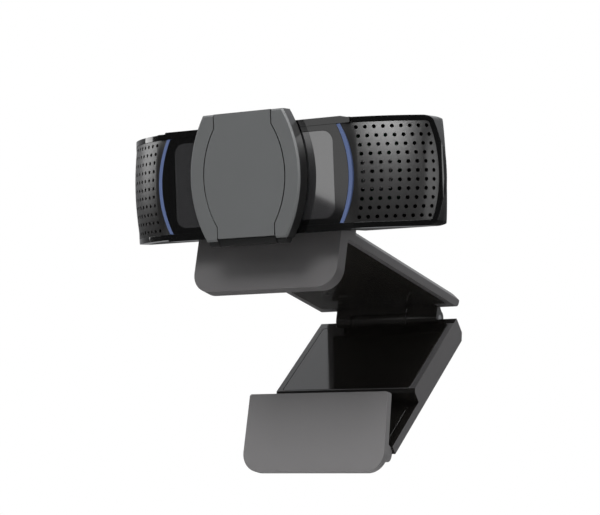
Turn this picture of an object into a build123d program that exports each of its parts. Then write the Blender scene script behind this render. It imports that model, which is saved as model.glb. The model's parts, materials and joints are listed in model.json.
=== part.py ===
from build123d import *
from math import asin, cos, radians, sin, sqrt
import os

os.makedirs("parts", exist_ok=True)

# A clip-on web camera with a hinged privacy cover, standing on its own folding clip.
# Millimetres, +Z up, +X to the right of someone facing the lens side, which looks along -Y.
# The origin is on the underside of the clip's arm, where the top edge of a monitor rests.

# ---------------------------------------------------------------- driving dimensions
CLIP_HALF = 20.9          # half the width of the clip
LIP_FRONT = -18.7         # front face of the hooked lip
LIP_BOTTOM = -13.0
ARM_END = 44.0            # rear end of the arm
ARM_THICK = 3.5
CORNER_R = 5.2            # rounded lower corners of the lip and of the foot
TOP_CORNER_R = 3.0        # round where the arm turns down into the lip
EDGE_CHAMFER = 1.5        # bevel along the clip's outer edges
PANEL_INSET = 1.7         # rim around the inlaid panels
PANEL_THICK = 0.8

HINGE_Y, HINGE_Z = 44.2, -2.6    # rear hinge of the clip
HINGE_R = 2.0
HINGE_HALF = 15.5
KNUCKLE_CUTS = (-10.8, 6.1)      # where the three knuckles part
PIN_R = 0.8
RUN_FIT = 0.05                   # radial clearance of a pin in a turning knuckle
GAP = 0.2                        # clearance beside a turning knuckle

LEG_ANGLE = 52.6          # the leg points this far below horizontal, towards the front
LEG_INNER = 0.15          # inner face of the leg, above the hinge axis
LEG_OUTER = -6.1
LEG_TOP = 0.8             # start of the leg, along it from the hinge axis
LEG_STEP = 31.6           # where the leg gets thinner, to make room for the folded foot
LEG_LOW = -3.75           # inner face of the thinner part
FOOT_S, FOOT_N = 52.0, -3.9      # foot hinge, along and across the leg
LEG_END = 52.1

FOOT_OPEN = 40.5          # angle between the leg and the foot plate
FOOT_FRONT = 2.45         # front face of the foot plate, ahead of its hinge axis
FOOT_THICK = 2.1
FOOT_ABOVE = 15.3         # plate above the hinge axis
FOOT_BELOW = 5.1          # plate below the hinge axis
FOOT_HALF_TOP, FOOT_HALF_LOW = 20.5, 21.0
FOOT_BARREL_R = 2.2
FOOT_BARREL_IN = 14.0     # the foot's outer barrels start here
TONGUE_R = 1.7            # the leg's middle knuckle at the foot hinge

HEAD_O = (0, -28.7, 11.97)       # middle of the head's front face
HEAD_TILT = 16.8          # the head looks down by this angle
HEAD_HALF = 45.4          # half the width of the head
HEAD_HIGH = 13.35         # half the height of the head at the grilles
MID_HIGH = 13.75          # half the height of the middle section
HEAD_DEEP = 24.0
SWEEP_X, SWEEP_Y, SWEEP_R = 16.71, 32.37, 33.5   # the front sweeps back on this circle
END_BOW = 1.15            # the ends bow outwards: they stand in by this at the outermost rows of holes
GRILLE_OUT = 44.5         # outer edge of a grille
FRAME_DEEP = 2.8          # depth of the front frame behind the front face
OPEN_HIGH = 12.0          # half the height of the frame's opening
SHELL_WALL = 1.5
PIVOT_Y, PIVOT_Z = 16.93, -11.38  # tilt axis in the head's own frame
NECK_R = 2.2
NECK_HALF = 6.8

COVER_Z = 0.95            # middle of the privacy cover above the middle of the head
COVER_HIGH = 15.65        # half its height
COVER_FRONT = -4.05       # its front face
COVER_MID, COVER_END = 15.5, 11.2     # half its width across the middle and at its ends
DOOR_MID, DOOR_END = 11.7, 8.24       # the same for the door between its seams
DOOR_BEND = 12.1          # the seams run straight beyond this height
DOOR_AXIS_Y, DOOR_AXIS_Z = -2.0, -14.6
DOOR_BARREL_R = 1.45
DOOR_PIN_R = 0.6

HOLE_PITCH = 2.16
HOLE_R = 0.48
HOLE_ROWS, HOLE_COLUMNS = 11, 9

# ---------------------------------------------------------------- frames of reference
tilt_s, tilt_c = sin(radians(HEAD_TILT)), cos(radians(HEAD_TILT))
head_plan = Plane(origin=HEAD_O, x_dir=(1, 0, 0), z_dir=(0, -tilt_s, tilt_c))


def head_front(depth):
    """Plane facing the front at a depth behind the head's face; local y is the head's up."""
    origin = head_plan.from_local_coords((0, depth, 0))
    return Plane(origin=origin, x_dir=(1, 0, 0), z_dir=(0, -tilt_c, -tilt_s))


def head_side(x):
    """Plane across the head at x; local x runs back and local y runs up."""
    origin = head_plan.from_local_coords((x, 0, 0))
    return Plane(origin=origin, x_dir=(0, tilt_c, tilt_s), z_dir=(1, 0, 0))


def clip_side(x):
    """Plane across the clip at x; local x runs back and local y runs up."""
    return Plane(origin=(x, 0, 0), x_dir=(0, 1, 0), z_dir=(1, 0, 0))


leg_s, leg_c = sin(radians(LEG_ANGLE)), cos(radians(LEG_ANGLE))


def leg_side(x):
    """Plane across the leg at x; local x runs down the leg, local y out of its inner face."""
    return Plane(origin=(x, HINGE_Y, HINGE_Z), x_dir=(0, -leg_c, -leg_s), z_dir=(-1, 0, 0))


def leg_face(height):
    """Plane on the leg's inner side at a height; local y runs down the leg."""
    origin = leg_side(0).from_local_coords((0, height, 0))
    return Plane(origin=origin, x_dir=(-1, 0, 0), z_dir=(0, -leg_s, leg_c))


foot_origin = leg_side(0).from_local_coords((FOOT_S, FOOT_N, 0))
foot_up = radians(LEG_ANGLE + FOOT_OPEN)


def foot_side(x):
    """Plane across the foot at x, on its hinge axis; local x is up the plate, y to its front."""
    origin = (x, foot_origin.Y, foot_origin.Z)
    return Plane(origin=origin, x_dir=(0, cos(foot_up), sin(foot_up)), z_dir=(1, 0, 0))


def foot_face(ahead):
    """Plane facing the foot's front, a distance ahead of its hinge axis; local y is up."""
    origin = foot_side(0).from_local_coords((0, ahead, 0))
    return Plane(origin=origin, x_dir=(1, 0, 0), z_dir=(0, -sin(foot_up), cos(foot_up)))


def sweep_y(x, depth):
    """Distance back of the swept front surface at x, a depth below the surface."""
    return SWEEP_Y - sqrt((SWEEP_R - depth) ** 2 - (abs(x) - SWEEP_X) ** 2)


def junction_x(z):
    """Half the width of the middle section at a height: its sides bow outwards."""
    return 28.6 - 3.0 * (z / OPEN_HIGH) ** 2


def swept_band(side, x_in, x_out, near, far):
    """Lines around a strip of the swept front between two depths; side is 1 or -1."""
    x_mid = (x_in + x_out) / 2
    corners = [(side * x, sweep_y(x, d)) for x, d in ((x_in, near), (x_out, near), (x_out, far), (x_in, far))]
    ThreePointArc(corners[0], (side * x_mid, sweep_y(x_mid, near)), corners[1])
    Line(corners[1], corners[2])
    ThreePointArc(corners[2], (side * x_mid, sweep_y(x_mid, far)), corners[3])
    Line(corners[3], corners[0])


def bowed_outline(half, high):
    """Lines around the head in the front view: straight top and bottom, ends bowed outwards."""
    drop = END_BOW * (high / 10.8) ** 2
    Line((-half + drop, high), (half - drop, high))
    ThreePointArc((half - drop, high), (half, 0), (half - drop, -high))
    Line((half - drop, -high), (-half + drop, -high))
    ThreePointArc((-half + drop, -high), (-half, 0), (-half + drop, high))


def save(piece, name):
    piece.part.label = name
    export_step(piece.part, f"parts/{name}.step")


asin_start = asin((28.3 - SWEEP_X) / SWEEP_R)     # where the sweep begins, as an angle on its circle


# ---------------------------------------------------------------- head: front frame
FRAME_END_Y = 15.9        # where the frame's ends meet the rear shell
with BuildPart() as front_frame:
    with BuildSketch(head_plan.offset(-HEAD_HIGH)):
        with BuildLine():
            x_end = 44.6
            Line((-28.0, 0), (28.0, 0))
            Line((28.0, 0), (28.0, sweep_y(28.0, 0)))
            ThreePointArc((28.0, sweep_y(28.0, 0)), (38, sweep_y(38, 0)), (x_end, sweep_y(x_end, 0)))
            ThreePointArc((x_end, sweep_y(x_end, 0)), (45.05, 14.58), (HEAD_HALF, 15.4))
            Line((HEAD_HALF, 15.4), (HEAD_HALF, FRAME_END_Y))
            Line((HEAD_HALF, FRAME_END_Y), (43.7, FRAME_END_Y))
            x_in = 42.2
            Line((43.7, FRAME_END_Y), (x_in, sweep_y(x_in, FRAME_DEEP)))
            ThreePointArc((x_in, sweep_y(x_in, FRAME_DEEP)), (36, sweep_y(36, FRAME_DEEP)),
                          (28.0, sweep_y(28.0, FRAME_DEEP)))
            Line((28.0, sweep_y(28.0, FRAME_DEEP)), (28.0, FRAME_DEEP))
            Line((28.0, FRAME_DEEP), (0, FRAME_DEEP))
            Line((0, FRAME_DEEP), (-28.0, FRAME_DEEP))
            Line((-28.0, FRAME_DEEP), (-28.0, sweep_y(28.0, FRAME_DEEP)))
            ThreePointArc((-28.0, sweep_y(28.0, FRAME_DEEP)), (-36, sweep_y(36, FRAME_DEEP)),
                          (-x_in, sweep_y(x_in, FRAME_DEEP)))
            Line((-x_in, sweep_y(x_in, FRAME_DEEP)), (-43.7, FRAME_END_Y))
            Line((-43.7, FRAME_END_Y), (-HEAD_HALF, FRAME_END_Y))
            Line((-HEAD_HALF, FRAME_END_Y), (-HEAD_HALF, 15.4))
            ThreePointArc((-HEAD_HALF, 15.4), (-45.05, 14.58), (-x_end, sweep_y(x_end, 0)))
            ThreePointArc((-x_end, sweep_y(x_end, 0)), (-38, sweep_y(38, 0)), (-28.0, sweep_y(28.0, 0)))
            Line((-28.0, sweep_y(28.0, 0)), (-28.0, 0))
        make_face()
    extrude(amount=2 * HEAD_HIGH)
    with BuildSketch(head_front(-2)):
        with BuildLine():
            bowed_outline(HEAD_HALF, HEAD_HIGH)
        make_face()
        fillet(vertices(), radius=1.8)
    extrude(amount=-20, mode=Mode.INTERSECT)
    # the middle section stands a little proud above and below
    with BuildSketch(head_front(0)):
        Rectangle(2 * 25.8, 2 * MID_HIGH)
        fillet(vertices(), radius=0.35)
    extrude(amount=-FRAME_DEEP)
    with BuildSketch(head_front(-1)):
        with BuildLine():
            bowed_outline(GRILLE_OUT, OPEN_HIGH)
        make_face()
        fillet(vertices(), radius=0.6)
    extrude(amount=-FRAME_END_Y - 2, mode=Mode.SUBTRACT)
save(front_frame, "front_frame")

# ---------------------------------------------------------------- head: rear shell
BACK_X, BACK_Y = 40.2, 21.6


def envelope(inset):
    """The rounded body of the head behind its front frame, shrunk by an inset."""
    with BuildPart() as body:
        with BuildSketch(head_plan.offset(-HEAD_HIGH + inset)):
            with BuildLine():
                half = HEAD_HALF - inset
                start = FRAME_DEEP if inset == 0 else FRAME_DEEP - 0.5
                last = 42.2 - inset
                Line((-28.0, start), (28.0, start))
                Line((28.0, start), (28.0, sweep_y(28.0, start)))
                ThreePointArc((28.0, sweep_y(28.0, start)), (36, sweep_y(36, start)), (last, sweep_y(last, start)))
                Line((last, sweep_y(last, start)), (half - 1.7, FRAME_END_Y))
                Line((half - 1.7, FRAME_END_Y), (half - 0.15, FRAME_END_Y))
                ThreePointArc((half - 0.15, FRAME_END_Y), (43.3 - inset, 18.4 - inset / 3),
                              (BACK_X - inset, BACK_Y - inset))
                ThreePointArc((BACK_X - inset, BACK_Y - inset), (0, HEAD_DEEP - inset),
                              (-BACK_X + inset, BACK_Y - inset))
                ThreePointArc((-BACK_X + inset, BACK_Y - inset), (-43.3 + inset, 18.4 - inset / 3),
                              (-half + 0.15, FRAME_END_Y))
                Line((-half + 0.15, FRAME_END_Y), (-half + 1.7, FRAME_END_Y))
                Line((-half + 1.7, FRAME_END_Y), (-last, sweep_y(last, start)))
                ThreePointArc((-last, sweep_y(last, start)), (-36, sweep_y(36, start)),
                              (-28.0, sweep_y(28.0, start)))
                Line((-28.0, sweep_y(28.0, start)), (-28.0, start))
            make_face()
        extrude(amount=2 * (HEAD_HIGH - inset))
        with BuildSketch(head_front(-2)):
            with BuildLine():
                bowed_outline(HEAD_HALF - inset - 0.05, HEAD_HIGH - inset + 0.01)
            make_face()
            fillet(vertices(), radius=1.8 - inset / 2)
        extrude(amount=-30, mode=Mode.INTERSECT)
        with BuildSketch(head_side(-HEAD_HALF - 1)):
            with BuildLine():
                high, flat, back = HEAD_HIGH - inset, 15.0, HEAD_DEEP - inset + 0.5
                Line((0, -high), (0, high))
                Line((0, high), (flat, high))
                EllipticalCenterArc((flat, 2.5), back - flat, high - 2.5, start_angle=0, arc_size=90)
                Line((back, 2.5), (back, -2.5))
                EllipticalCenterArc((flat, -2.5), back - flat, high - 2.5, start_angle=270, arc_size=90)
                Line((flat, -high), (0, -high))
            make_face()
        extrude(amount=2 * HEAD_HALF + 2, mode=Mode.INTERSECT)
        # a saddle under the middle clears the clip's arm when the head tilts
        saddle = 22.6 - inset if inset == 0 else 22.6 + inset
        with BuildSketch(head_side(-saddle)):
            with BuildLine():
                Polyline((2.4, -13.5 + inset), (2.4, -20), (26, -20), (26, -1.0 + inset), close=True)
            make_face()
        extrude(amount=2 * saddle, mode=Mode.SUBTRACT)
    return body.part


shell_outside = envelope(0)
shell_inside = envelope(SHELL_WALL)
CABLE_X, CABLE_Z = -14.0, 3.5
CABLE_HOLE_R = 3.2
SCREW_SPOTS = ((-31, 7.2), (31, 7.2), (-31, -4.2), (31, -4.2))
BOARD_Y, BOARD_THICK = 10.0, 1.2
with BuildPart() as rear_shell:
    add(shell_outside)
    add(shell_inside, mode=Mode.SUBTRACT)
    # a neck under the back carries the tilt knuckle
    with BuildSketch(head_side(-NECK_HALF)):
        with BuildLine():
            Polyline((PIVOT_Y - NECK_R, PIVOT_Z), (PIVOT_Y - NECK_R, -6.4), (PIVOT_Y + 3.2, -4.0),
                     (PIVOT_Y + NECK_R, PIVOT_Z), close=True)
        make_face()
        with Locations((PIVOT_Y, PIVOT_Z)):
            Circle(NECK_R)
    extrude(amount=2 * NECK_HALF)
    with BuildSketch(head_side(-NECK_HALF - 1)):
        with Locations((PIVOT_Y, PIVOT_Z)):
            Circle(1.2 + RUN_FIT)
    extrude(amount=2 * NECK_HALF + 2, mode=Mode.SUBTRACT)
    # the hole for the cable's grommet, in the back
    with BuildSketch(head_front(HEAD_DEEP + 3)):
        with Locations((CABLE_X, CABLE_Z)):
            Circle(CABLE_HOLE_R)
    extrude(amount=8, mode=Mode.SUBTRACT)
    # posts that the screws of the front frame and of the circuit board go into
    for x, z in SCREW_SPOTS:
        with BuildSketch(head_front(BOARD_Y + BOARD_THICK)):
            with Locations((x, z)):
                Circle(1.9)
        extrude(amount=-10.2)
        with BuildSketch(head_front(BOARD_Y + BOARD_THICK)):
            with Locations((x, z)):
                Circle(0.8)
        extrude(amount=-5.0, mode=Mode.SUBTRACT)
save(rear_shell, "rear_shell")

# ---------------------------------------------------------------- head: front panel and lights
STRIP_WIDE = 1.0
PLATE_DEEP = 0.9


def middle_outline(inset, high):
    """Lines around the middle panel: flat top and bottom, sides bowed outwards."""
    top = junction_x(high) - inset
    mid = junction_x(0) - inset
    Line((-top, high), (top, high))
    ThreePointArc((top, high), (mid, 0), (top, -high))
    Line((top, -high), (-top, -high))
    ThreePointArc((-top, -high), (-mid, 0), (-top, high))


with BuildPart() as front_panel:
    with BuildSketch(head_front(0)):
        with BuildLine():
            middle_outline(STRIP_WIDE + 0.45, OPEN_HIGH - 0.05)
        make_face()
    extrude(amount=-1.8)
    with BuildSketch(head_front(0)):
        RectangleRounded(46.4, 21.4, 3.0)
    extrude(amount=-PLATE_DEEP, mode=Mode.SUBTRACT)
    with BuildSketch(head_front(0)):
        Circle(6.0)
    extrude(amount=-2, mode=Mode.SUBTRACT)
save(front_panel, "front_panel")

with BuildPart() as face_plate:
    with BuildSketch(head_front(PLATE_DEEP)):
        RectangleRounded(46.2, 21.2, 2.9)
        Circle(7.2, mode=Mode.SUBTRACT)
    extrude(amount=PLATE_DEEP - 0.08)
save(face_plate, "face_plate")

for side, name in ((-1, "left_light_strip"), (1, "right_light_strip")):
    with BuildPart() as light_strip:
        with BuildSketch(head_front(0.1)):
            with BuildLine():
                high = OPEN_HIGH - 0.1
                outer_top, outer_mid = junction_x(high) - 0.4, junction_x(0) - 0.4
                Line((side * (outer_top - STRIP_WIDE), high), (side * outer_top, high))
                ThreePointArc((side * outer_top, high), (side * outer_mid, 0), (side * outer_top, -high))
                Line((side * outer_top, -high), (side * (outer_top - STRIP_WIDE), -high))
                ThreePointArc((side * (outer_top - STRIP_WIDE), -high), (side * (outer_mid - STRIP_WIDE), 0),
                              (side * (outer_top - STRIP_WIDE), high))
            make_face()
        extrude(amount=-2.4)
    save(light_strip, name)

# ---------------------------------------------------------------- head: microphone grilles
GRILLE_SKIN = 1.1
for side, name in ((-1, "left_grille"), (1, "right_grille")):
    with BuildPart() as grille:
        with BuildSketch(head_plan.offset(-OPEN_HIGH + 0.05)):
            with BuildLine():
                swept_band(side, 25.2, GRILLE_OUT - 0.05, 0.1, 0.1 + GRILLE_SKIN)
            make_face()
        extrude(amount=2 * OPEN_HIGH - 0.1)
        with BuildSketch(head_front(-2)):
            with BuildLine():
                middle_outline(0.35, OPEN_HIGH + 0.5)
            make_face()
        extrude(amount=-20, mode=Mode.SUBTRACT)
        with BuildSketch(head_front(-2)):
            with BuildLine():
                bowed_outline(GRILLE_OUT - 0.05, OPEN_HIGH - 0.05)
            make_face()
            fillet(vertices(), radius=0.6)
        extrude(amount=-20, mode=Mode.INTERSECT)
        # rows of holes whose columns bow with the light strip
        holes = []
        for row in range(HOLE_ROWS):
            z = (row - (HOLE_ROWS - 1) / 2) * HOLE_PITCH
            for column in range(HOLE_COLUMNS):
                along = 2.15 + HOLE_PITCH * column - 1.37 * (z / 10.8) ** 2
                turn = asin_start + along / SWEEP_R
                x = SWEEP_X + SWEEP_R * sin(turn)
                y = SWEEP_Y - SWEEP_R * cos(turn)
                centre = head_plan.from_local_coords((side * x, y, z))
                out = head_plan.from_local_coords((side * (x + sin(turn)), y - cos(turn), z)) - centre
                holes.append(Plane(origin=centre + out * 0.6, z_dir=-out))
        with BuildSketch(*holes):
            Circle(HOLE_R)
        extrude(amount=3, mode=Mode.SUBTRACT)
    save(grille, name)

# ---------------------------------------------------------------- head: lens and electronics
LENS_R = 3.4
with BuildPart() as lens_ring:
    with BuildSketch(head_front(-0.1)):
        Circle(7.1)
        Circle(4.6, mode=Mode.SUBTRACT)
    extrude(amount=-0.9)
    with BuildSketch(head_front(0.8)):
        Circle(5.9)
        Circle(4.6, mode=Mode.SUBTRACT)
    extrude(amount=-1.4)
    chamfer(lens_ring.edges().filter_by(GeomType.CIRCLE).group_by(Axis.Y)[0], length=0.25)
save(lens_ring, "lens_ring")

with BuildPart() as front_lens:
    with BuildSketch(head_front(0.15)):
        Circle(LENS_R)
    extrude(amount=-1.25)
    fillet(front_lens.edges().filter_by(GeomType.CIRCLE).group_by(Axis.Y)[0], radius=0.7)
save(front_lens, "front_lens")

with BuildPart() as lens_barrel:
    with BuildSketch(head_front(0.6)):
        Circle(4.2)
        Circle(LENS_R, mode=Mode.SUBTRACT)
    extrude(amount=-0.8)
    with BuildSketch(head_front(1.4)):
        Circle(4.2)
        Circle(2.4, mode=Mode.SUBTRACT)
    extrude(amount=-6.2)
save(lens_barrel, "lens_barrel")

with BuildPart() as rear_lens:
    with BuildSketch(head_front(5.4)):
        Circle(2.4)
    extrude(amount=-1.6)
save(rear_lens, "rear_lens")

with BuildPart() as focus_actuator:
    with BuildSketch(head_front(2.9)):
        RectangleRounded(12.5, 12.5, 1.0)
        Circle(4.2 + 0.06, mode=Mode.SUBTRACT)
    extrude(amount=-5.6)
save(focus_actuator, "focus_actuator")

with BuildPart() as filter_frame:
    with BuildSketch(head_front(8.5)):
        RectangleRounded(12.5, 12.5, 1.0)
        Rectangle(6.4, 6.4, mode=Mode.SUBTRACT)
    extrude(amount=-1.5)
save(filter_frame, "filter_frame")

with BuildPart() as infrared_filter:
    with BuildSketch(head_front(8.6)):
        Rectangle(6.4, 6.4)
    extrude(amount=-0.3)
save(infrared_filter, "infrared_filter")

with BuildPart() as image_sensor:
    with BuildSketch(head_front(9.1)):
        Rectangle(6.2, 5.4)
    extrude(amount=-0.9)
save(image_sensor, "image_sensor")

with BuildPart() as main_board:
    with BuildSketch(head_front(BOARD_Y)):
        with Locations((0, 1.6)):
            Rectangle(70, 16.4)
        with Locations(*SCREW_SPOTS):
            Circle(0.85, mode=Mode.SUBTRACT)
    extrude(amount=-BOARD_THICK)
save(main_board, "main_board")

with BuildPart() as video_chip:
    with BuildSketch(head_front(BOARD_Y + BOARD_THICK)):
        with Locations((9, 3.5)):
            Rectangle(8, 8)
    extrude(amount=-1.0)
save(video_chip, "video_chip")

with BuildPart() as cable_connector:
    with BuildSketch(head_front(BOARD_Y + BOARD_THICK)):
        with Locations((CABLE_X, CABLE_Z)):
            Rectangle(8.0, 4.6)
    extrude(amount=-3.4)
save(cable_connector, "cable_connector")

with BuildPart() as cable_grommet:
    with BuildSketch(head_front(19.5)):
        with Locations((CABLE_X, CABLE_Z)):
            Circle(CABLE_HOLE_R - 0.05)
            Circle(2.2, mode=Mode.SUBTRACT)
    extrude(amount=-6.0)
    with BuildSketch(head_front(24.15)):
        with Locations((CABLE_X, CABLE_Z)):
            Circle(4.2)
            Circle(2.2, mode=Mode.SUBTRACT)
    extrude(amount=-1.35)
save(cable_grommet, "cable_grommet")

MIC_TURN, MIC_R = radians(29.5), 30.4      # place of the microphones, round the middle of the sweep
for side, label in ((-1, "left"), (1, "right")):
    mic_x, mic_y = SWEEP_X + MIC_R * sin(MIC_TURN), SWEEP_Y - MIC_R * cos(MIC_TURN)
    mic_base = head_plan.from_local_coords((side * mic_x, mic_y, 0))
    out = head_plan.from_local_coords((side * (mic_x + sin(MIC_TURN)), mic_y - cos(MIC_TURN), 0)) - mic_base
    mic_plane = Plane(origin=mic_base, x_dir=(0, -tilt_s, tilt_c), z_dir=out)
    with BuildPart() as mic_boot:
        with BuildSketch(mic_plane):
            Circle(3.0)
        extrude(amount=1.6)
        with BuildSketch(mic_plane):
            Circle(1.9)
        extrude(amount=0.9, mode=Mode.SUBTRACT)
        with BuildSketch(mic_plane):
            Circle(0.6)
        extrude(amount=1.6, mode=Mode.SUBTRACT)
    save(mic_boot, f"{label}_mic_boot")
    with BuildPart() as microphone:
        with BuildSketch(mic_plane):
            Circle(1.85)
        extrude(amount=0.85)
        with BuildSketch(mic_plane):
            Rectangle(8, 7)
        extrude(amount=-0.8)
    save(microphone, f"{label}_microphone")
    with BuildPart() as light_board:
        with BuildSketch(head_front(3.1)):
            with Locations((side * 27.2, 0)):
                Rectangle(2.2, 17)
        extrude(amount=-0.7)
        with BuildSketch(head_front(2.65)):
            with Locations((side * 27.2, -5), (side * 27.2, 5)):
                Rectangle(1.2, 2.0)
        extrude(amount=-0.5)
    save(light_board, f"{label}_light_board")

with BuildPart() as board_screws:
    for x, z in SCREW_SPOTS:
        with BuildSketch(head_front(BOARD_Y - 1.2)):
            with Locations((x, z)):
                Circle(1.6)
        extrude(amount=-1.2)
        with BuildSketch(head_front(BOARD_Y)):
            with Locations((x, z)):
                Circle(0.75)
        extrude(amount=-5.0)
save(board_screws, "board_screws")

# ---------------------------------------------------------------- privacy cover
def cover_outline(mid, end, high, low):
    """Lines around a barrel shape: straight top and bottom, sides bowed outwards."""
    middle = (high + low) / 2
    Line((-end, high), (end, high))
    ThreePointArc((end, high), (mid, middle), (end, low))
    Line((end, low), (-end, low))
    ThreePointArc((-end, low), (-mid, middle), (-end, high))


def door_outline(shrink, high, low):
    """Lines around the door: bowed sides that run straight at the top and the bottom."""
    end, mid = DOOR_END - shrink, DOOR_MID - shrink
    top_bend, low_bend = COVER_Z + DOOR_BEND, COVER_Z - DOOR_BEND
    Line((-end, high), (end, high))
    Line((end, high), (end, top_bend))
    ThreePointArc((end, top_bend), (mid, COVER_Z), (end, low_bend))
    Line((end, low_bend), (end, low))
    Line((end, low), (-end, low))
    Line((-end, low), (-end, low_bend))
    ThreePointArc((-end, low_bend), (-mid, COVER_Z), (-end, top_bend))
    Line((-end, top_bend), (-end, high))


cover_top, cover_low = COVER_Z + COVER_HIGH, COVER_Z - COVER_HIGH
BASE_DEEP = -1.7          # front of the cover's base plate
BASE_BACK = -0.4
SEAM = 0.2                # gap around the door
DOOR_SKIN = 1.0           # the door is full width in its front skin and narrower behind it, to swing clear

with BuildPart() as cover_frame:
    # base plate and side wall, a little wider at the back than at the front
    with BuildSketch(head_front(BASE_BACK)):
        with BuildLine():
            cover_outline(COVER_MID + 0.45, COVER_END + 0.45, cover_top, cover_low)
        make_face()
    extrude(amount=BASE_BACK - COVER_FRONT)
    chamfer(cover_frame.faces().sort_by(Axis(HEAD_O, (0, tilt_c, tilt_s)))[0].edges(), length=0.45)
    # room for the door, its barrel and its swing
    with BuildSketch(head_front(BASE_DEEP)):
        with BuildLine():
            door_outline(-SEAM, cover_top + 1, cover_low - 3)
        make_face()
    extrude(amount=5, mode=Mode.SUBTRACT)
    with BuildSketch(head_side(-DOOR_END - SEAM)):
        with Locations((DOOR_AXIS_Y, DOOR_AXIS_Z)):
            Circle(DOOR_BARREL_R + 0.2)
        with Locations((0, cover_low)):
            Rectangle(6, 2.4)
    extrude(amount=2 * DOOR_END + 2 * SEAM, mode=Mode.SUBTRACT)
    # ears beside the barrel
    for x in (-COVER_END, DOOR_END + SEAM):
        with BuildSketch(head_side(x)):
            with Locations((DOOR_AXIS_Y, DOOR_AXIS_Z)):
                Circle(DOOR_BARREL_R)
        extrude(amount=COVER_END - DOOR_END - SEAM)
    # opening in front of the lens
    with BuildSketch(head_front(BASE_DEEP - 1)):
        Circle(8.0)
    extrude(amount=-3, mode=Mode.SUBTRACT)
    with BuildSketch(head_side(-DOOR_END - 1.8)):
        with Locations((DOOR_AXIS_Y, DOOR_AXIS_Z)):
            Circle(DOOR_PIN_R)
    extrude(amount=2 * DOOR_END + 3.6, mode=Mode.SUBTRACT)
save(cover_frame, "cover_frame")

with BuildPart() as cover_door:
    with BuildSketch(head_front(COVER_FRONT)):
        with BuildLine():
            door_outline(0.04, cover_top, cover_low + 0.6)
        make_face()
    extrude(amount=-DOOR_SKIN)
    with BuildSketch(head_front(COVER_FRONT)):
        with BuildLine():
            door_outline(0.7, cover_top, cover_low + 0.6)
        make_face()
    extrude(amount=COVER_FRONT + 1.95)
    with BuildSketch(head_side(-DOOR_END + 0.02)):
        with Locations((DOOR_AXIS_Y, DOOR_AXIS_Z)):
            Circle(DOOR_BARREL_R)
    extrude(amount=2 * DOOR_END - 0.04)
    with BuildSketch(head_side(-DOOR_END - 1)):
        with Locations((DOOR_AXIS_Y, DOOR_AXIS_Z)):
            Circle(DOOR_PIN_R + RUN_FIT)
    extrude(amount=2 * DOOR_END + 2, mode=Mode.SUBTRACT)
save(cover_door, "cover_door")

with BuildPart() as cover_pin:
    with BuildSketch(head_side(-DOOR_END - 1.8)):
        with Locations((DOOR_AXIS_Y, DOOR_AXIS_Z)):
            Circle(DOOR_PIN_R)
    extrude(amount=2 * DOOR_END + 3.6)
save(cover_pin, "cover_pin")

with BuildPart() as cover_adhesive:
    with BuildSketch(head_front(0)):
        with BuildLine():
            cover_outline(COVER_MID - 1.5, COVER_END - 1.5, 11.0, -11.0)
        make_face()
        Circle(8.2, mode=Mode.SUBTRACT)
    extrude(amount=-BASE_BACK)
save(cover_adhesive, "cover_adhesive")

# ---------------------------------------------------------------- clip: arm with its hooked lip
PIVOT = (-9.2, 5.97)      # tilt axis of the head above the arm
BRACKET_FRONT, BRACKET_BACK, BRACKET_HALF = -13.0, -5.0, 10.0
POCKET_FLOOR = 2.3
BRACKET_SCREW_X = 8.4
ARM_PANEL = (-14.3, 40.2)  # front and rear edge of the panel under the arm
PANEL_HALF = CLIP_HALF - PANEL_INSET
SKIRT_Y, SKIRT_Z = 41.0, -1.8     # front and bottom of the skirt over the hinge

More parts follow.
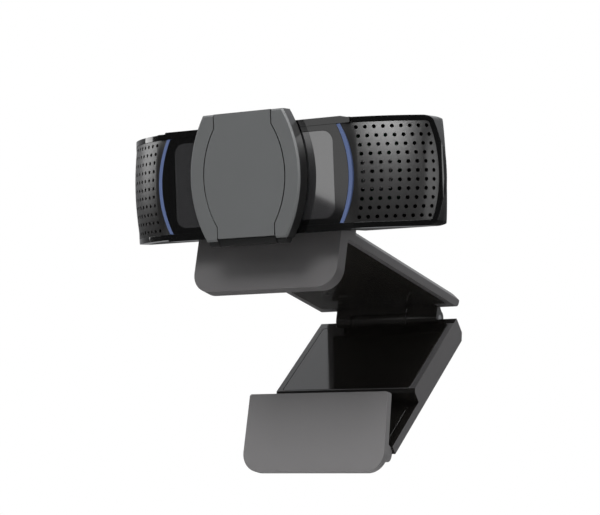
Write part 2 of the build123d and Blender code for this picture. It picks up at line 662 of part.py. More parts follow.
with BuildPart() as clip_arm:
    with BuildSketch(clip_side(-CLIP_HALF)):
        with BuildLine():
            Line((LIP_FRONT, LIP_BOTTOM), (LIP_FRONT, ARM_THICK - TOP_CORNER_R))
            RadiusArc((LIP_FRONT, ARM_THICK - TOP_CORNER_R), (LIP_FRONT + TOP_CORNER_R, ARM_THICK), TOP_CORNER_R)
            Line((LIP_FRONT + TOP_CORNER_R, ARM_THICK), (ARM_END - 1.7, ARM_THICK))
            ThreePointArc((ARM_END - 1.7, ARM_THICK), (ARM_END, ARM_THICK - 1.7), (ARM_END - 1.0, 0))
            Line((ARM_END - 1.0, 0), (LIP_FRONT + 4.2, 0))
            RadiusArc((LIP_FRONT + 4.2, 0), (LIP_FRONT + 3.5, -0.7), -0.7)
            Line((LIP_FRONT + 3.5, -0.7), (LIP_FRONT + 3.5, LIP_BOTTOM))
            Line((LIP_FRONT + 3.5, LIP_BOTTOM), (LIP_FRONT, LIP_BOTTOM))
        make_face()
    extrude(amount=2 * CLIP_HALF)
    fillet(clip_arm.edges().filter_by(Axis.Y).group_by(Axis.Z)[0], radius=CORNER_R)
    # bevel along the top outer edges, behind the lip
    with BuildSketch(Plane(origin=(0, LIP_FRONT + 6.8, 0), x_dir=(1, 0, 0), z_dir=(0, -1, 0))):
        for side in (-1, 1):
            with BuildLine():
                Polyline((side * (CLIP_HALF - EDGE_CHAMFER), ARM_THICK), (side * CLIP_HALF, ARM_THICK - EDGE_CHAMFER),
                         (side * (CLIP_HALF + 1), ARM_THICK - EDGE_CHAMFER), (side * (CLIP_HALF + 1), ARM_THICK + 1),
                         (side * (CLIP_HALF - EDGE_CHAMFER), ARM_THICK + 1), close=True)
            make_face()
    extrude(amount=-(ARM_END - LIP_FRONT), mode=Mode.SUBTRACT)
    # two webs and two knuckles of the rear hinge
    for start, end in ((-HINGE_HALF, KNUCKLE_CUTS[0] - GAP / 2), (KNUCKLE_CUTS[1] + GAP / 2, HINGE_HALF)):
        with BuildSketch(clip_side(start)):
            with Locations((HINGE_Y, HINGE_Z)):
                Circle(HINGE_R)
            with BuildLine():
                Polyline((HINGE_Y - HINGE_R, HINGE_Z), (HINGE_Y - HINGE_R, 1), (HINGE_Y - 1.2, 1),
                         (HINGE_Y + HINGE_R - 1.2, HINGE_Z + 1.6), (HINGE_Y, HINGE_Z), close=True)
            make_face()
        extrude(amount=end - start)
    # a skirt between the webs, in front of the leg's knuckle
    with BuildSketch(clip_side(KNUCKLE_CUTS[0] - 0.2)):
        with BuildLine():
            Polyline((SKIRT_Y, 0.5), (SKIRT_Y, SKIRT_Z), (SKIRT_Y + 1.0, SKIRT_Z), (SKIRT_Y + 1.0, 0.5), close=True)
        make_face()
    extrude(amount=KNUCKLE_CUTS[1] - KNUCKLE_CUTS[0] + 0.4)
    with BuildSketch(clip_side(-CLIP_HALF)):
        with Locations((HINGE_Y, HINGE_Z)):
            Circle(PIN_R)
    extrude(amount=2 * CLIP_HALF, mode=Mode.SUBTRACT)
    # shallow recess for the panel underneath
    with BuildSketch(Plane.XY):
        with Locations((0, (ARM_PANEL[0] + ARM_PANEL[1]) / 2)):
            RectangleRounded(2 * PANEL_HALF + 0.2, ARM_PANEL[1] - ARM_PANEL[0] + 0.2, 0.8)
    extrude(amount=PANEL_THICK, mode=Mode.SUBTRACT)
    # pocket for the tilt bracket and the holes of its two screws
    with BuildSketch(Plane.XY.offset(POCKET_FLOOR)):
        with Locations((0, (BRACKET_FRONT + BRACKET_BACK) / 2)):
            Rectangle(2 * BRACKET_HALF, BRACKET_BACK - BRACKET_FRONT)
    extrude(amount=5, mode=Mode.SUBTRACT)
    with BuildSketch(Plane.XY):
        with Locations((-BRACKET_SCREW_X, PIVOT[0]), (BRACKET_SCREW_X, PIVOT[0])):
            Circle(0.75)
    extrude(amount=4, mode=Mode.SUBTRACT)
    with BuildSketch(Plane.XY):
        with Locations((-BRACKET_SCREW_X, PIVOT[0]), (BRACKET_SCREW_X, PIVOT[0])):
            Circle(1.4)
    extrude(amount=PANEL_THICK + 0.75, mode=Mode.SUBTRACT)
save(clip_arm, "clip_arm")

with BuildPart() as arm_panel:
    with BuildSketch(Plane.XY):
        with Locations((0, (ARM_PANEL[0] + ARM_PANEL[1]) / 2)):
            RectangleRounded(2 * PANEL_HALF, ARM_PANEL[1] - ARM_PANEL[0], 0.7)
    extrude(amount=PANEL_THICK)
save(arm_panel, "arm_panel")

# ---------------------------------------------------------------- clip: tilt hinge of the head
LUG_IN, LUG_OUT, LUG_R = 7.2, 9.6, 2.4
TILT_PIN_R = 1.2
with BuildPart() as tilt_bracket:
    with BuildSketch(Plane.XY.offset(POCKET_FLOOR)):
        with Locations((0, (BRACKET_FRONT + BRACKET_BACK) / 2)):
            Rectangle(2 * BRACKET_HALF, BRACKET_BACK - BRACKET_FRONT)
    extrude(amount=ARM_THICK - POCKET_FLOOR)
    for x in (-LUG_OUT, LUG_IN):
        with BuildSketch(clip_side(x)):
            with Locations(PIVOT):
                Circle(LUG_R)
            with BuildLine():
                Polyline((PIVOT[0] - 3.2, ARM_THICK - 0.5), (PIVOT[0] - LUG_R, PIVOT[1]),
                         (PIVOT[0] + LUG_R, PIVOT[1]), (PIVOT[0] + 3.2, ARM_THICK - 0.5), close=True)
            make_face()
        extrude(amount=LUG_OUT - LUG_IN)
    with BuildSketch(clip_side(-LUG_OUT - 1)):
        with Locations(PIVOT):
            Circle(TILT_PIN_R)
    extrude(amount=2 * LUG_OUT + 2, mode=Mode.SUBTRACT)
    with BuildSketch(Plane.XY):
        with Locations((-BRACKET_SCREW_X, PIVOT[0]), (BRACKET_SCREW_X, PIVOT[0])):
            Circle(0.7)
    extrude(amount=4.3, mode=Mode.SUBTRACT)
save(tilt_bracket, "tilt_bracket")

with BuildPart() as tilt_pin:
    with BuildSketch(clip_side(-LUG_OUT)):
        with Locations(PIVOT):
            Circle(TILT_PIN_R)
    extrude(amount=2 * LUG_OUT)
save(tilt_pin, "tilt_pin")

with BuildPart() as tilt_washers:
    for x in (-LUG_IN, NECK_HALF + 0.04):
        with BuildSketch(clip_side(x)):
            with Locations(PIVOT):
                Circle(NECK_R)
                Circle(TILT_PIN_R, mode=Mode.SUBTRACT)
        extrude(amount=LUG_IN - NECK_HALF - 0.04)
save(tilt_washers, "tilt_washers")

with BuildPart() as bracket_screws:
    with BuildSketch(Plane.XY.offset(PANEL_THICK)):
        with Locations((-BRACKET_SCREW_X, PIVOT[0]), (BRACKET_SCREW_X, PIVOT[0])):
            Circle(1.35)
    extrude(amount=0.75)
    with BuildSketch(Plane.XY.offset(PANEL_THICK)):
        with Locations((-BRACKET_SCREW_X, PIVOT[0]), (BRACKET_SCREW_X, PIVOT[0])):
            Circle(0.7)
    extrude(amount=3.4)
save(bracket_screws, "bracket_screws")

# ---------------------------------------------------------------- clip: leg
SHOULDER_X = HINGE_HALF + 0.2
NUT_S, NUT_R, NUT_BORE_R = 15.0, 4.6, 2.6
LEG_PANEL = (3.0, 30.4)            # along the leg
LOW_PANEL = (33.4, 48.4)
LOW_PANEL_HALF = 18.4
with BuildPart() as clip_leg:
    with BuildSketch(leg_side(CLIP_HALF)):
        with BuildLine():
            Line((LEG_TOP, LEG_INNER), (LEG_STEP - 0.8, LEG_INNER))
            Line((LEG_STEP - 0.8, LEG_INNER), (LEG_STEP, LEG_INNER - 0.8))
            Line((LEG_STEP, LEG_INNER - 0.8), (LEG_STEP, LEG_LOW))
            Line((LEG_STEP, LEG_LOW), (LEG_END - 1.2, LEG_LOW))
            RadiusArc((LEG_END - 1.2, LEG_LOW), (LEG_END, LEG_LOW - 1.2), 1.2)
            RadiusArc((LEG_END, LEG_LOW - 1.2), (LEG_END - 1.15, LEG_OUTER), 1.2)
            Line((LEG_END - 1.15, LEG_OUTER), (LEG_TOP + 1.6, LEG_OUTER))
            Line((LEG_TOP + 1.6, LEG_OUTER), (LEG_TOP, LEG_OUTER + 1.6))
            Line((LEG_TOP, LEG_OUTER + 1.6), (LEG_TOP, LEG_INNER))
        make_face()
    extrude(amount=2 * CLIP_HALF)
    # bevel along the outer long edges
    with BuildSketch(Plane(origin=leg_side(0).location.position, x_dir=(1, 0, 0), z_dir=(0, leg_c, leg_s))):
        for side in (-1, 1):
            with BuildLine():
                Polyline((side * (CLIP_HALF - EDGE_CHAMFER), LEG_OUTER), (side * CLIP_HALF, LEG_OUTER + EDGE_CHAMFER),
                         (side * (CLIP_HALF + 1), LEG_OUTER + EDGE_CHAMFER), (side * (CLIP_HALF + 1), LEG_OUTER - 1),
                         (side * (CLIP_HALF - EDGE_CHAMFER), LEG_OUTER - 1), close=True)
            make_face()
    extrude(amount=-60, mode=Mode.SUBTRACT)
    # room for the arm's knuckles between the shoulders
    with BuildSketch(leg_side(SHOULDER_X)):
        with Locations((0, 0)):
            Rectangle(4.6, 20)
    extrude(amount=2 * SHOULDER_X, mode=Mode.SUBTRACT)
    # the leg's own knuckle
    with BuildSketch(leg_side(KNUCKLE_CUTS[1] - GAP / 2)):
        Circle(HINGE_R)
        with BuildLine():
            Polyline((0, 0), (0, LEG_INNER), (3, LEG_INNER), (3, -HINGE_R), (0, -HINGE_R), close=True)
        make_face()
    extrude(amount=KNUCKLE_CUTS[1] - KNUCKLE_CUTS[0] - GAP)
    with BuildSketch(leg_side(CLIP_HALF)):
        Circle(PIN_R + RUN_FIT)
    extrude(amount=2 * CLIP_HALF, mode=Mode.SUBTRACT)
    # slots at the lower end for the foot's barrels, and the knuckle between them
    for start in (CLIP_HALF + 1, -FOOT_BARREL_IN + GAP):
        with BuildSketch(leg_side(start)):
            with Locations((FOOT_S, FOOT_N)):
                Circle(FOOT_BARREL_R + 0.2)
            with Locations((FOOT_S, LEG_LOW)):
                Rectangle(2 * FOOT_BARREL_R + 0.4, 8)
        extrude(amount=CLIP_HALF + 1 - FOOT_BARREL_IN + GAP, mode=Mode.SUBTRACT)
    with BuildSketch(leg_side(FOOT_BARREL_IN - GAP)):
        with Locations((FOOT_S, FOOT_N)):
            Circle(TONGUE_R)
    extrude(amount=2 * FOOT_BARREL_IN - 2 * GAP)
    with BuildSketch(leg_side(CLIP_HALF)):
        with Locations((FOOT_S, FOOT_N)):
            Circle(PIN_R + RUN_FIT)
    extrude(amount=2 * CLIP_HALF, mode=Mode.SUBTRACT)
    # recesses for the two panels
    for height, half, (near, far) in ((LEG_INNER, PANEL_HALF, LEG_PANEL), (LEG_LOW, LOW_PANEL_HALF, LOW_PANEL)):
        with BuildSketch(leg_face(height)):
            with Locations((0, (near + far) / 2)):
                RectangleRounded(2 * half + 0.2, far - near + 0.2, 0.8)
        extrude(amount=-PANEL_THICK, mode=Mode.SUBTRACT)
    # seat of the tripod nut, from under the upper panel, and its mouth in the outer face
    with BuildSketch(leg_face(LEG_INNER - PANEL_THICK)):
        with Locations((0, NUT_S)):
            Circle(NUT_R)
    extrude(amount=-4.2, mode=Mode.SUBTRACT)
    with BuildSketch(leg_face(LEG_INNER)):
        with Locations((0, NUT_S)):
            Circle(NUT_BORE_R + 0.6)
    extrude(amount=-8, mode=Mode.SUBTRACT)
save(clip_leg, "clip_leg")

with BuildPart() as leg_panel:
    with BuildSketch(leg_face(LEG_INNER)):
        with Locations((0, (LEG_PANEL[0] + LEG_PANEL[1]) / 2)):
            RectangleRounded(2 * PANEL_HALF, LEG_PANEL[1] - LEG_PANEL[0], 0.7)
    extrude(amount=-PANEL_THICK)
save(leg_panel, "leg_panel")

with BuildPart() as leg_low_panel:
    with BuildSketch(leg_face(LEG_LOW)):
        with Locations((0, (LOW_PANEL[0] + LOW_PANEL[1]) / 2)):
            RectangleRounded(2 * LOW_PANEL_HALF, LOW_PANEL[1] - LOW_PANEL[0], 0.7)
    extrude(amount=-PANEL_THICK)
save(leg_low_panel, "leg_low_panel")

with BuildPart() as tripod_nut:
    with BuildSketch(leg_face(LEG_INNER - PANEL_THICK)):
        with Locations((0, NUT_S)):
            Circle(NUT_R - 0.02)
    extrude(amount=-4.2)
    with BuildSketch(leg_face(LEG_INNER - PANEL_THICK)):
        with Locations((0, NUT_S)):
            Circle(NUT_BORE_R + 0.58)
    extrude(amount=-5.3)
    with BuildSketch(leg_face(LEG_INNER - PANEL_THICK)):
        with Locations((0, NUT_S)):
            Circle(NUT_BORE_R)
    extrude(amount=-6, mode=Mode.SUBTRACT)
save(tripod_nut, "tripod_nut")

with BuildPart() as hinge_pin:
    with BuildSketch(clip_side(-HINGE_HALF)):
        with Locations((HINGE_Y, HINGE_Z)):
            Circle(PIN_R)
    extrude(amount=2 * HINGE_HALF)
save(hinge_pin, "hinge_pin")

# ---------------------------------------------------------------- clip: foot
with BuildPart() as clip_foot:
    with BuildSketch(foot_face(FOOT_FRONT)):
        with BuildLine():
            Polyline((-FOOT_HALF_TOP, FOOT_ABOVE), (FOOT_HALF_TOP, FOOT_ABOVE),
                     (FOOT_HALF_LOW, -FOOT_BELOW), (-FOOT_HALF_LOW, -FOOT_BELOW), close=True)
        make_face()
        fillet(vertices().group_by(Axis.Y)[0], radius=CORNER_R)
        fillet(vertices().group_by(Axis.Y)[-1], radius=0.6)
    extrude(amount=-FOOT_THICK)
    # barrels at both sides, joined to the plate
    for x in (-FOOT_HALF_TOP, FOOT_BARREL_IN):
        with BuildSketch(foot_side(x)):
            Circle(FOOT_BARREL_R)
        extrude(amount=FOOT_HALF_TOP - FOOT_BARREL_IN)
    # groove for the leg's knuckle in the back of the plate
    with BuildSketch(foot_side(-FOOT_BARREL_IN)):
        Circle(TONGUE_R + 0.2)
    extrude(amount=2 * FOOT_BARREL_IN, mode=Mode.SUBTRACT)
    with BuildSketch(foot_side(-FOOT_HALF_TOP + 0.8)):
        Circle(PIN_R)
    extrude(amount=2 * FOOT_HALF_TOP - 1.6, mode=Mode.SUBTRACT)
save(clip_foot, "clip_foot")

with BuildPart() as foot_pin:
    with BuildSketch(foot_side(-FOOT_HALF_TOP + 0.8)):
        Circle(PIN_R)
    extrude(amount=2 * FOOT_HALF_TOP - 1.6)
save(foot_pin, "foot_pin")
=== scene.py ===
import json
import bmesh
import bpy
import numpy as np
from mathutils import Matrix, Vector


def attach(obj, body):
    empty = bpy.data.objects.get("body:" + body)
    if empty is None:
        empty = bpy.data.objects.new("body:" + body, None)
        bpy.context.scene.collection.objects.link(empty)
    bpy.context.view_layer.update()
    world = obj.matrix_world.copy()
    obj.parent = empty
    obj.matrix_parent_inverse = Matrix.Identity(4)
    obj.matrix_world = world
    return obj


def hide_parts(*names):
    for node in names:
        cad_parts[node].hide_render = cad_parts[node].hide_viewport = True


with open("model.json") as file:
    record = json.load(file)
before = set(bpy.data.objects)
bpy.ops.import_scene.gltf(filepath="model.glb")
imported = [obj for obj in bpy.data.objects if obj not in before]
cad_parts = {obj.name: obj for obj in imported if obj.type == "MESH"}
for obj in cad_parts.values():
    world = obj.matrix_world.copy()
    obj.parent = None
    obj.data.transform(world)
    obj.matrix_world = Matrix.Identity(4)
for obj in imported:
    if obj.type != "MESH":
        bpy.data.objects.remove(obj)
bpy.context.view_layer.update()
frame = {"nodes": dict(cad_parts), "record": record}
node = frame["nodes"]

# ---------------------------------------------------------------- the room and the camera
# A plain pale floor well below the clip and a white backdrop, as in a shop's catalogue. The backdrop
# shows only to the camera: reflections see a dim room, bright overhead, so that black stays black.
scene = bpy.context.scene
scene.view_settings.view_transform = "Standard"
world = bpy.data.worlds.new("studio")
scene.world = world
world.use_nodes = True
tree = world.node_tree
tree.nodes.clear()
seen = tree.nodes.new("ShaderNodeBackground")
seen.inputs["Color"].default_value = (1, 1, 1, 1)
seen.inputs["Strength"].default_value = 1.0
room = tree.nodes.new("ShaderNodeBackground")
room.inputs["Strength"].default_value = 1.0
heading = tree.nodes.new("ShaderNodeTexCoord")
parts = tree.nodes.new("ShaderNodeSeparateXYZ")
ramp = tree.nodes.new("ShaderNodeValToRGB")
ramp.color_ramp.elements[0].position = 0.30
ramp.color_ramp.elements[0].color = (0.06, 0.06, 0.06, 1)
ramp.color_ramp.elements[1].position = 0.80
ramp.color_ramp.elements[1].color = (0.80, 0.81, 0.83, 1)
middle = ramp.color_ramp.elements.new(0.52)
middle.color = (0.07, 0.07, 0.071, 1)
lift = tree.nodes.new("ShaderNodeMapRange")
lift.inputs["From Min"].default_value = -1.0
tree.links.new(heading.outputs["Generated"], parts.inputs[0])
tree.links.new(parts.outputs["Z"], lift.inputs["Value"])
tree.links.new(lift.outputs[0], ramp.inputs["Fac"])
tree.links.new(ramp.outputs["Color"], room.inputs["Color"])
path = tree.nodes.new("ShaderNodeLightPath")
mix = tree.nodes.new("ShaderNodeMixShader")
out = tree.nodes.new("ShaderNodeOutputWorld")
tree.links.new(path.outputs["Is Camera Ray"], mix.inputs["Fac"])
tree.links.new(room.outputs[0], mix.inputs[1])
tree.links.new(seen.outputs[0], mix.inputs[2])
tree.links.new(mix.outputs[0], out.inputs["Surface"])

camera = bpy.data.cameras.new("camera")
camera.sensor_width = 36.0
camera.lens = 134.4
camera.clip_start = 0.01
view = bpy.data.objects.new("camera", camera)
scene.collection.objects.link(view)
right = Vector((0.85110, 0.51197, 0.11625))
up = Vector((0.05084, -0.30076, 0.95234))
back = Vector((0.52253, -0.80463, -0.28201))
turn = Matrix((right, up, back)).transposed().to_4x4()
view.matrix_world = Matrix.Translation((0.2962, -0.4595, -0.1598)) @ turn
scene.camera = view


def lamp(name, place, target, width, height, power, colour=(1, 1, 1)):
    """A rectangular soft light at a place, turned to face a target."""
    data = bpy.data.lights.new(name, "AREA")
    data.shape = "RECTANGLE"
    data.size, data.size_y, data.energy, data.color = width, height, power, colour
    obj = bpy.data.objects.new(name, data)
    scene.collection.objects.link(obj)
    aim = Vector(target) - Vector(place)
    obj.matrix_world = Matrix.Translation(place) @ aim.to_track_quat("-Z", "Y").to_matrix().to_4x4()
    return obj


# key, end and rim show only as reflections, and under only brightens the undersides
lamp("key", (0.60, -0.83, 0.20), (0.02, -0.02, 0), 0.65, 0.28, 9.5).visible_diffuse = False
lamp("left", (-1.0, -0.12, 0.24), (-0.03, 0, 0), 0.5, 0.3, 1.8)
lamp("side", (1.0, -0.02, -0.30), (0, 0, -0.02), 0.4, 0.4, 2.2)
lamp("end", (1.0, 0.20, 0.12), (0.045, 0, 0.01), 0.35, 0.35, 1.4).visible_diffuse = False
lamp("top", (0.1, 0.10, 0.85), (0, 0, 0), 0.5, 0.35, 3.0)
lamp("front", (0.0, -0.78, 0.60), (0, -0.02, -0.01), 0.4, 0.3, 7.0)
lamp("rim", (0.32, -0.56, 0.80), (0.03, 0, 0), 0.7, 0.35, 12.0).visible_diffuse = False
lamp("under", (-0.05, 0.10, -0.25), (0, 0.03, 0), 0.3, 0.3, 0.8).visible_glossy = False


def card(name, corners, strength):
    """A glowing four-cornered card that the camera doesn't see: its edges show only as reflections."""
    mesh = bpy.data.meshes.new(name)
    mesh.from_pydata(corners, [], [(0, 1, 2, 3)])
    obj = bpy.data.objects.new(name, mesh)
    scene.collection.objects.link(obj)
    glow = bpy.data.materials.new(name)
    glow.use_nodes = True
    glow.node_tree.nodes.clear()
    shine = glow.node_tree.nodes.new("ShaderNodeEmission")
    shine.inputs["Strength"].default_value = strength
    end = glow.node_tree.nodes.new("ShaderNodeOutputMaterial")
    glow.node_tree.links.new(shine.outputs[0], end.inputs["Surface"])
    mesh.materials.append(glow)
    obj.visible_camera = False
    return obj


# the head's own frame: the middle of its face, and the directions back and up from there
face_middle = np.array((0.0, -0.0287, 0.01197))
head_back = np.array((0.0, 0.95732, 0.28903))
head_up = np.array((0.0, -0.28903, 0.95732))

# the card's lower edge crosses the right half of the polished face as a slanting line: its corners lie 0.7 m
# out, on lines from the eye's mirror image behind the face through four points of the face (millimetres)
eye = np.array(view.matrix_world.translation)
mirrored = eye - 2 * ((eye - face_middle) @ head_back) * head_back
corners = []
for x, z in ((4.0, 1.5), (40.0, -15.0), (40.0, 18.0), (4.0, 18.0)):
    mark = face_middle + 0.001 * (x * np.array((1.0, 0, 0)) + z * head_up)
    corners.append(tuple(mark + 0.7 * (mark - mirrored) / np.linalg.norm(mark - mirrored)))
card("window_card", corners, 1.6)

mesh = bpy.data.meshes.new("floor")
mesh.from_pydata([(-3, -3, -0.26), (3, -3, -0.26), (3, 3, -0.26), (-3, 3, -0.26)], [], [(0, 1, 2, 3)])
floor = bpy.data.objects.new("floor", mesh)
scene.collection.objects.link(floor)
pale = bpy.data.materials.new("pale_floor")
pale.use_nodes = True
pale.node_tree.nodes["Principled BSDF"].inputs["Base Color"].default_value = (0.72, 0.72, 0.71, 1)
pale.node_tree.nodes["Principled BSDF"].inputs["Roughness"].default_value = 0.7
mesh.materials.append(pale)
floor.visible_glossy = False      # the black plastic mirrors the dim room, not the floor

# ---------------------------------------------------------------- rear shell of the head
# The back half of the camera's body: one injection-moulded ABS shell, finely spark-textured in the
# tool. It is snapped onto the front frame, and its end shows beside the grilles.


def effect(name, inputs, outputs):
    """A new shader node group with named sockets, and its input and output nodes."""
    tree = bpy.data.node_groups.new(name, "ShaderNodeTree")
    for label, kind, value in inputs:
        socket = tree.interface.new_socket(label, in_out="INPUT", socket_type=kind)
        if value is not None:
            socket.default_value = value
    for label, kind in outputs:
        tree.interface.new_socket(label, in_out="OUTPUT", socket_type=kind)
    return tree, tree.nodes.new("NodeGroupInput"), tree.nodes.new("NodeGroupOutput")


VECTOR, FLOAT, COLOUR = "NodeSocketVector", "NodeSocketFloat", "NodeSocketColor"

# spark texture: the pitted grain that an eroded tool leaves, as a height and a mask of its pits
grain_tree, gin, gout = effect("spark_grain", [("Vector", VECTOR, None), ("Scale", FLOAT, 6000.0)],
                               [("Height", FLOAT), ("Pits", FLOAT)])
fine = grain_tree.nodes.new("ShaderNodeTexNoise")
fine.inputs["Detail"].default_value = 3.0
fine.inputs["Roughness"].default_value = 0.62
cells = grain_tree.nodes.new("ShaderNodeTexVoronoi")
cells.feature = "SMOOTH_F1"
both = grain_tree.nodes.new("ShaderNodeMath")
both.operation = "MULTIPLY_ADD"
both.inputs[1].default_value = 0.6
for texture in (fine, cells):
    grain_tree.links.new(gin.outputs["Vector"], texture.inputs["Vector"])
    grain_tree.links.new(gin.outputs["Scale"], texture.inputs["Scale"])
pit = grain_tree.nodes.new("ShaderNodeMapRange")
pit.inputs["From Min"].default_value = 0.25
pit.inputs["From Max"].default_value = 0.75
grain_tree.links.new(cells.outputs["Distance"], both.inputs[0])
grain_tree.links.new(fine.outputs["Fac"], both.inputs[2])
grain_tree.links.new(both.outputs[0], gout.inputs["Height"])
grain_tree.links.new(both.outputs[0], pit.inputs["Value"])
grain_tree.links.new(pit.outputs[0], gout.inputs["Pits"])

# handling: slow clouds of skin grease that change the tone and the gloss by a little
touch_tree, gin, gout = effect(
    "handling", [("Vector", VECTOR, None), ("Color", COLOUR, (0.1, 0.1, 0.1, 1)), ("Tone", FLOAT, 0.12),
                 ("Roughness", FLOAT, 0.4), ("Spread", FLOAT, 0.08), ("Scale", FLOAT, 60.0)],
    [("Color", COLOUR), ("Roughness", FLOAT)])
cloud = touch_tree.nodes.new("ShaderNodeTexNoise")
cloud.inputs["Detail"].default_value = 5.0
cloud.inputs["Roughness"].default_value = 0.55
touch_tree.links.new(gin.outputs["Vector"], cloud.inputs["Vector"])
touch_tree.links.new(gin.outputs["Scale"], cloud.inputs["Scale"])
centred = touch_tree.nodes.new("ShaderNodeMath")
centred.operation = "SUBTRACT"
centred.inputs[1].default_value = 0.5
touch_tree.links.new(cloud.outputs["Fac"], centred.inputs[0])
tone = touch_tree.nodes.new("ShaderNodeMath")
tone.operation = "MULTIPLY_ADD"
tone.inputs[2].default_value = 1.0
touch_tree.links.new(centred.outputs[0], tone.inputs[0])
touch_tree.links.new(gin.outputs["Tone"], tone.inputs[1])
shade = touch_tree.nodes.new("ShaderNodeVectorMath")
shade.operation = "SCALE"
touch_tree.links.new(gin.outputs["Color"], shade.inputs[0])
touch_tree.links.new(tone.outputs[0], shade.inputs["Scale"])
touch_tree.links.new(shade.outputs[0], gout.inputs["Color"])
gloss = touch_tree.nodes.new("ShaderNodeMath")
gloss.operation = "MULTIPLY_ADD"
touch_tree.links.new(centred.outputs[0], gloss.inputs[0])
touch_tree.links.new(gin.outputs["Spread"], gloss.inputs[1])
touch_tree.links.new(gin.outputs["Roughness"], gloss.inputs[2])
touch_tree.links.new(gloss.outputs[0], gout.inputs["Roughness"])


def moulded(name, colour, roughness, tone=0.12, spread=0.08, scale=6000.0, depth=0.02, coat=0.0, specular=0.5):
    """Moulded plastic: handling changes its tone and gloss, spark grain raises it by depth in millimetres."""
    material = bpy.data.materials.new(name)
    material.use_nodes = True
    tree = material.node_tree
    bsdf = tree.nodes["Principled BSDF"]
    place = tree.nodes.new("ShaderNodeTexCoord")
    touch = tree.nodes.new("ShaderNodeGroup")
    touch.node_tree = touch_tree
    touch.inputs["Color"].default_value = (*colour, 1)
    touch.inputs["Tone"].default_value = tone
    touch.inputs["Roughness"].default_value = roughness
    touch.inputs["Spread"].default_value = spread
    grain = tree.nodes.new("ShaderNodeGroup")
    grain.node_tree = grain_tree
    grain.inputs["Scale"].default_value = scale
    bump = tree.nodes.new("ShaderNodeBump")
    bump.inputs["Strength"].default_value = 0.5
    bump.inputs["Distance"].default_value = depth * 0.001
    for user in (touch, grain):
        tree.links.new(place.outputs["Object"], user.inputs["Vector"])
    tree.links.new(touch.outputs["Color"], bsdf.inputs["Base Color"])
    tree.links.new(touch.outputs["Roughness"], bsdf.inputs["Roughness"])
    tree.links.new(grain.outputs["Height"], bump.inputs["Height"])
    tree.links.new(bump.outputs["Normal"], bsdf.inputs["Normal"])
    bsdf.inputs["Coat Weight"].default_value = coat
    bsdf.inputs["Coat Roughness"].default_value = 0.05
    bsdf.inputs["Specular IOR Level"].default_value = specular
    return material


def paint(name, material):
    """Gives a CAD node one material."""
    slots = node[name].data.materials
    slots.clear()
    slots.append(material)


def softened(name, material, width, segments=3, angle=28.0):
    """The solid with the small rounds that a moulding tool leaves on every edge: its loose triangles are
    merged and flat ones joined, and each edge sharper than an angle gets a bevel of a width in millimetres."""
    source = node[name]
    grid = bmesh.new()
    grid.from_mesh(source.data)
    bmesh.ops.remove_doubles(grid, verts=grid.verts, dist=1e-6)
    bmesh.ops.dissolve_limit(grid, angle_limit=np.radians(0.6), verts=grid.verts, edges=grid.edges)
    for face in grid.faces:
        face.smooth = True
    mesh = bpy.data.meshes.new(name + "_moulding")
    grid.to_mesh(mesh)
    grid.free()
    mesh.materials.append(material)
    piece = bpy.data.objects.new(name + "_moulding", mesh)
    scene.collection.objects.link(piece)
    bevel = piece.modifiers.new("rounds", "BEVEL")
    bevel.width = width * 0.001
    bevel.segments = segments
    bevel.limit_method = "ANGLE"
    bevel.angle_limit = np.radians(angle)
    bevel.miter_outer = "MITER_ARC"
    bevel.use_clamp_overlap = True
    bevel.harden_normals = False
    weighted = piece.modifiers.new("normals", "WEIGHTED_NORMAL")
    weighted.mode = "FACE_AREA"
    weighted.weight = 60
    weighted.keep_sharp = False
    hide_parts(name)
    for body, members in frame["record"]["behaviour"]["bodies"].items():
        if name in members:
            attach(piece, body)
    return piece


shell_plastic = moulded("shell_plastic", (0.012, 0.012, 0.0125), 0.3, scale=5200.0, depth=0.018)
softened("rear_shell", shell_plastic, 0.25, 2)
cable_rubber = moulded("cable_rubber", (0.016, 0.016, 0.016), 0.6, tone=0.2, scale=3000.0, depth=0.03)
paint("cable_grommet", cable_rubber)

# ---------------------------------------------------------------- front frame
# One polished black ring round the whole front, moulded in high-gloss ABS. It carries the panel and
# the two grilles from behind, and its rounded rim catches a thin line of light above and below.
gloss_black = moulded("gloss_black", (0.0025, 0.0025, 0.0026), 0.05, tone=0.15, spread=0.03, scale=900.0,
                      depth=0.0005)
softened("front_frame", gloss_black, 0.66, 6)
SWEEP = np.array((0.01671, 0.03237))      # centre of the circle on which the front sweeps back


def smooth(t):
    """3t^2 - 2t^3 between 0 and 1."""
    t = np.clip(t, 0, 1)
    return t * t * (3 - 2 * t)


def cut(grid, point, normal):
    """Adds edges where a plane crosses the faces, so that a face can bend or change colour there."""
    everything = grid.verts[:] + grid.edges[:] + grid.faces[:]
    bmesh.ops.bisect_plane(grid, geom=everything, dist=1e-7, plane_co=point, plane_no=normal)


def head_frame(mesh):
    """Vertex positions of a head piece, and the same in the head's own frame: across, back and up."""
    place = np.empty(3 * len(mesh.vertices))
    mesh.vertices.foreach_get("co", place)
    place = place.reshape(-1, 3)
    local = place - face_middle
    return place, local[:, 0], local @ head_back, local @ head_up

# ---------------------------------------------------------------- microphone grilles
# Thin wrapped plates of dark satin plastic, pierced by rows of round holes whose columns bow with the
# light strips. They are held in the frame's two openings by tabs from behind.
grille_satin = moulded("grille_satin", (0.010, 0.0095, 0.0095), 0.34, tone=0.1, spread=0.05, scale=4200.0,
                       depth=0.012)
BULGE, GRILLE_HALF = 0.0009, 0.0120


def bulge(x, z):
    """The plate's rise above its cylinder: a parabola in height, faded out at the two upright edges."""
    return BULGE * (1 - (z / GRILLE_HALF) ** 2) * smooth((x - 0.0262) / 0.0030) * smooth((0.0446 - x) / 0.0030)


